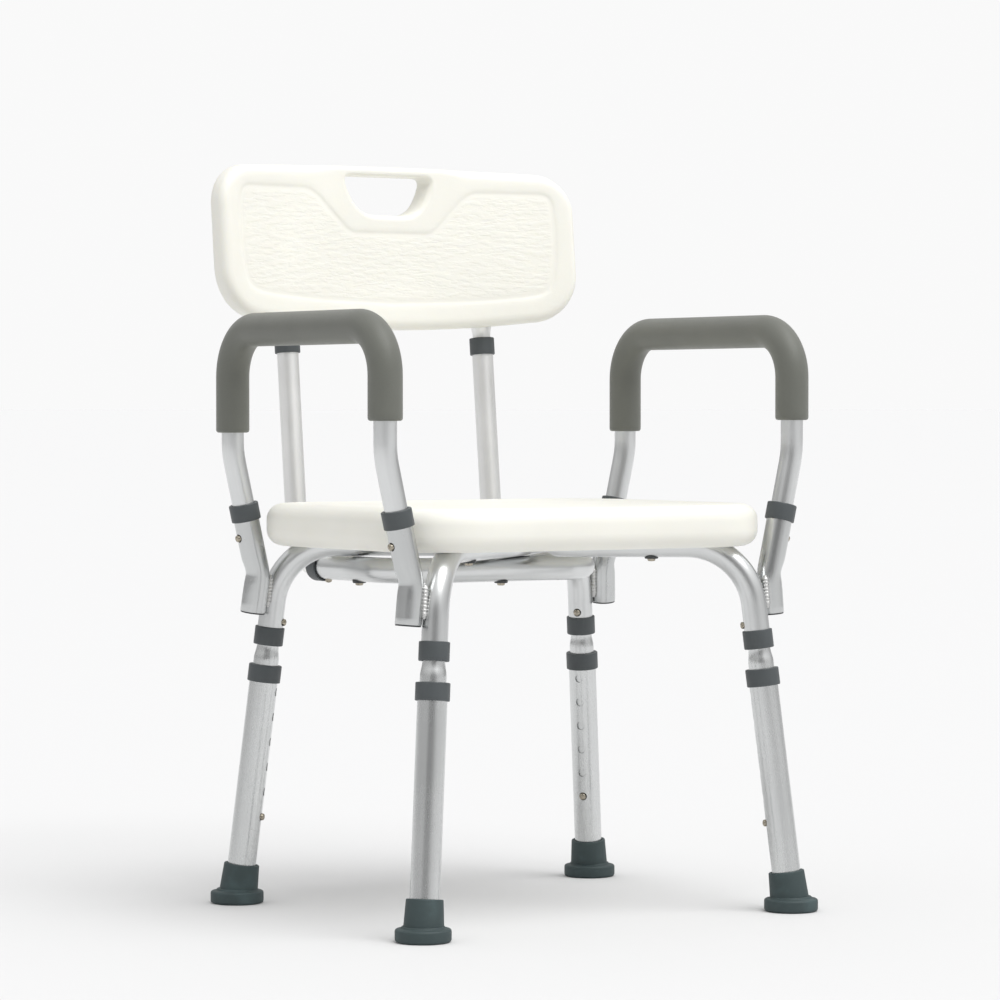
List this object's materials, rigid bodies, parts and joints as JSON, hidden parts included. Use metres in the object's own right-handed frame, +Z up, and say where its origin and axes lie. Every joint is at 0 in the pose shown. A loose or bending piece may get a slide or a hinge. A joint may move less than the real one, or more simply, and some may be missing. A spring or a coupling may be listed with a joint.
{
  "type": "shower chair",
  "caption": "Knock-down shower chair: crossed bent tubes under a moulded seat, telescopic legs with rubber feet, lift-out padded arms and a curved back panel.",
  "frame": {"origin": "on the floor, under the middle of the chair's box", "axes": "+Z up, -Y the front that the sitter faces, +X the sitter's left"},
  "size_m": [0.5072, 0.475, 0.752],
  "materials": {
    "tube_aluminium": "satin anodised drawn tube",
    "cream_plastic": "cream blow-moulded polyethylene, semi-matt",
    "collar_plastic": "grey moulded nylon, satin",
    "foot_rubber": "dark green-grey rubber, matt",
    "grip_foam": "grey closed-cell foam, matt",
    "button_steel": "plated spring-steel snap button"
  },
  "bodies": {
    "frame": {"seat_panel": "cream_plastic", "cross_tube_over": "tube_aluminium", "cross_tube_under": "tube_aluminium", "back_bracket_tube": "tube_aluminium", "arm_socket_front_right": "tube_aluminium", "arm_collar_front_right": "collar_plastic", "leg_collar_upper_front_right": "collar_plastic", "arm_socket_front_left": "tube_aluminium", "arm_collar_front_left": "collar_plastic", "leg_collar_upper_front_left": "collar_plastic", "arm_socket_rear_right": "tube_aluminium", "arm_collar_rear_right": "collar_plastic", "leg_collar_upper_rear_right": "collar_plastic", "arm_socket_rear_left": "tube_aluminium", "arm_collar_rear_left": "collar_plastic", "leg_collar_upper_rear_left": "collar_plastic", "bracket_collar_right": "collar_plastic", "bracket_collar_left": "collar_plastic"},
    "insert_front_right": {"leg_insert_front_right": "tube_aluminium"},
    "leg_front_right": {"leg_tube_front_right": "tube_aluminium", "leg_foot_front_right": "foot_rubber", "leg_collar_lower_front_right": "collar_plastic"},
    "button_lower_front_right": {"leg_button_lower_front_right": "button_steel"},
    "button_upper_front_right": {"leg_button_upper_front_right": "button_steel"},
    "insert_front_left": {"leg_insert_front_left": "tube_aluminium"},
    "leg_front_left": {"leg_tube_front_left": "tube_aluminium", "leg_foot_front_left": "foot_rubber", "leg_collar_lower_front_left": "collar_plastic"},
    "button_lower_front_left": {"leg_button_lower_front_left": "button_steel"},
    "button_upper_front_left": {"leg_button_upper_front_left": "button_steel"},
    "insert_rear_right": {"leg_insert_rear_right": "tube_aluminium"},
    "leg_rear_right": {"leg_tube_rear_right": "tube_aluminium", "leg_foot_rear_right": "foot_rubber", "leg_collar_lower_rear_right": "collar_plastic"},
    "button_lower_rear_right": {"leg_button_lower_rear_right": "button_steel"},
    "button_upper_rear_right": {"leg_button_upper_rear_right": "button_steel"},
    "insert_rear_left": {"leg_insert_rear_left": "tube_aluminium"},
    "leg_rear_left": {"leg_tube_rear_left": "tube_aluminium", "leg_foot_rear_left": "foot_rubber", "leg_collar_lower_rear_left": "collar_plastic"},
    "button_lower_rear_left": {"leg_button_lower_rear_left": "button_steel"},
    "button_upper_rear_left": {"leg_button_upper_rear_left": "button_steel"},
    "arm_right": {"arm_tube_right": "tube_aluminium", "arm_grip_right": "grip_foam"},
    "button_arm_front_right": {"arm_button_front_right": "button_steel"},
    "button_arm_rear_right": {"arm_button_rear_right": "button_steel"},
    "arm_left": {"arm_tube_left": "tube_aluminium", "arm_grip_left": "grip_foam"},
    "button_arm_front_left": {"arm_button_front_left": "button_steel"},
    "button_arm_rear_left": {"arm_button_rear_left": "button_steel"},
    "back_frame": {"back_post_right": "tube_aluminium", "back_post_left": "tube_aluminium", "back_collar_right": "collar_plastic", "back_collar_left": "collar_plastic"},
    "button_bracket_right": {"bracket_button_right": "button_steel"},
    "button_bracket_left": {"bracket_button_left": "button_steel"},
    "back": {"back_panel": "cream_plastic", "back_stub_right": "tube_aluminium", "back_stub_left": "tube_aluminium"}
  },
  "joints": [
    {"name": "leg_pull_front_right", "type": "slide", "parent": "frame", "child": "insert_front_right", "axis": [-0.0934, -0.0775, -0.9926], "range_m": [0, 0.042], "deforming": ["leg_button_upper_front_right"]},
    {"name": "leg_extend_front_right", "type": "slide", "parent": "insert_front_right", "child": "leg_front_right", "axis": [-0.0934, -0.0775, -0.9926], "range_m": [0, 0.127], "deforming": ["leg_button_lower_front_right"]},
    {"name": "button_lower_front_right_press", "type": "slide", "parent": "insert_front_right", "child": "button_lower_front_right", "axis": [-0.7639, -0.6338, 0.1214], "range_m": [0, 0.005], "stiffness_N_per_m": 800, "springref_m": -0.004},
    {"name": "button_upper_front_right_press", "type": "slide", "parent": "insert_front_right", "child": "button_upper_front_right", "axis": [-0.7639, -0.6338, 0.1214], "range_m": [0, 0.005], "stiffness_N_per_m": 800, "springref_m": -0.004},
    {"name": "leg_pull_front_left", "type": "slide", "parent": "frame", "child": "insert_front_left", "axis": [0.0934, -0.0775, -0.9926], "range_m": [0, 0.042], "deforming": ["leg_button_upper_front_left"]},
    {"name": "leg_extend_front_left", "type": "slide", "parent": "insert_front_left", "child": "leg_front_left", "axis": [0.0934, -0.0775, -0.9926], "range_m": [0, 0.127], "deforming": ["leg_button_lower_front_left"]},
    {"name": "button_lower_front_left_press", "type": "slide", "parent": "insert_front_left", "child": "button_lower_front_left", "axis": [0.7639, -0.6338, 0.1214], "range_m": [0, 0.005], "stiffness_N_per_m": 800, "springref_m": -0.004},
    {"name": "button_upper_front_left_press", "type": "slide", "parent": "insert_front_left", "child": "button_upper_front_left", "axis": [0.7639, -0.6338, 0.1214], "range_m": [0, 0.005], "stiffness_N_per_m": 800, "springref_m": -0.004},
    {"name": "leg_pull_rear_right", "type": "slide", "parent": "frame", "child": "insert_rear_right", "axis": [-0.0934, 0.0775, -0.9926], "range_m": [0, 0.042], "deforming": ["leg_button_upper_rear_right"]},
    {"name": "leg_extend_rear_right", "type": "slide", "parent": "insert_rear_right", "child": "leg_rear_right", "axis": [-0.0934, 0.0775, -0.9926], "range_m": [0, 0.127], "deforming": ["leg_button_lower_rear_right"]},
    {"name": "button_lower_rear_right_press", "type": "slide", "parent": "insert_rear_right", "child": "button_lower_rear_right", "axis": [-0.7639, 0.6338, 0.1214], "range_m": [0, 0.005], "stiffness_N_per_m": 800, "springref_m": -0.004},
    {"name": "button_upper_rear_right_press", "type": "slide", "parent": "insert_rear_right", "child": "button_upper_rear_right", "axis": [-0.7639, 0.6338, 0.1214], "range_m": [0, 0.005], "stiffness_N_per_m": 800, "springref_m": -0.004},
    {"name": "leg_pull_rear_left", "type": "slide", "parent": "frame", "child": "insert_rear_left", "axis": [0.0934, 0.0775, -0.9926], "range_m": [0, 0.042], "deforming": ["leg_button_upper_rear_left"]},
    {"name": "leg_extend_rear_left", "type": "slide", "parent": "insert_rear_left", "child": "leg_rear_left", "axis": [0.0934, 0.0775, -0.9926], "range_m": [0, 0.127], "deforming": ["leg_button_lower_rear_left"]},
    {"name": "button_lower_rear_left_press", "type": "slide", "parent": "insert_rear_left", "child": "button_lower_rear_left", "axis": [0.7639, 0.6338, 0.1214], "range_m": [0, 0.005], "stiffness_N_per_m": 800, "springref_m": -0.004},
    {"name": "button_upper_rear_left_press", "type": "slide", "parent": "insert_rear_left", "child": "button_upper_rear_left", "axis": [0.7639, 0.6338, 0.1214], "range_m": [0, 0.005], "stiffness_N_per_m": 800, "springref_m": -0.004},
    {"name": "arm_lift_right", "type": "slide", "parent": "frame", "child": "arm_right", "axis": [-0.2241, 0, 0.9746], "range_m": [0, 0.06], "deforming": ["arm_button_front_right", "arm_button_rear_right"]},
    {"name": "button_arm_front_right_press", "type": "slide", "parent": "arm_right", "child": "button_arm_front_right", "axis": [0.9746, 0, 0.2241], "range_m": [0, 0.005], "stiffness_N_per_m": 800, "springref_m": -0.004},
    {"name": "button_arm_rear_right_press", "type": "slide", "parent": "arm_right", "child": "button_arm_rear_right", "axis": [0.9746, 0, 0.2241], "range_m": [0, 0.005], "stiffness_N_per_m": 800, "springref_m": -0.004},
    {"name": "arm_lift_left", "type": "slide", "parent": "frame", "child": "arm_left", "axis": [0.2241, 0, 0.9746], "range_m": [0, 0.06], "deforming": ["arm_button_front_left", "arm_button_rear_left"]},
    {"name": "button_arm_front_left_press", "type": "slide", "parent": "arm_left", "child": "button_arm_front_left", "axis": [-0.9746, 0, 0.2241], "range_m": [0, 0.005], "stiffness_N_per_m": 800, "springref_m": -0.004},
    {"name": "button_arm_rear_left_press", "type": "slide", "parent": "arm_left", "child": "button_arm_rear_left", "axis": [-0.9746, 0, 0.2241], "range_m": [0, 0.005], "stiffness_N_per_m": 800, "springref_m": -0.004},
    {"name": "back_slide", "type": "slide", "parent": "frame", "child": "back_frame", "axis": [0, 1, 0], "range_m": [0, 0.065], "deforming": ["bracket_button_right", "bracket_button_left"]},
    {"name": "button_bracket_right_press", "type": "slide", "parent": "back_frame", "child": "button_bracket_right", "axis": [0, 0, 1], "range_m": [0, 0.005], "stiffness_N_per_m": 800, "springref_m": -0.004},
    {"name": "button_bracket_left_press", "type": "slide", "parent": "back_frame", "child": "button_bracket_left", "axis": [0, 0, 1], "range_m": [0, 0.005], "stiffness_N_per_m": 800, "springref_m": -0.004},
    {"name": "back_lift", "type": "slide", "parent": "back_frame", "child": "back", "axis": [0, 0.1015, 0.9948], "range_m": [0, 0.05]}
  ]
}
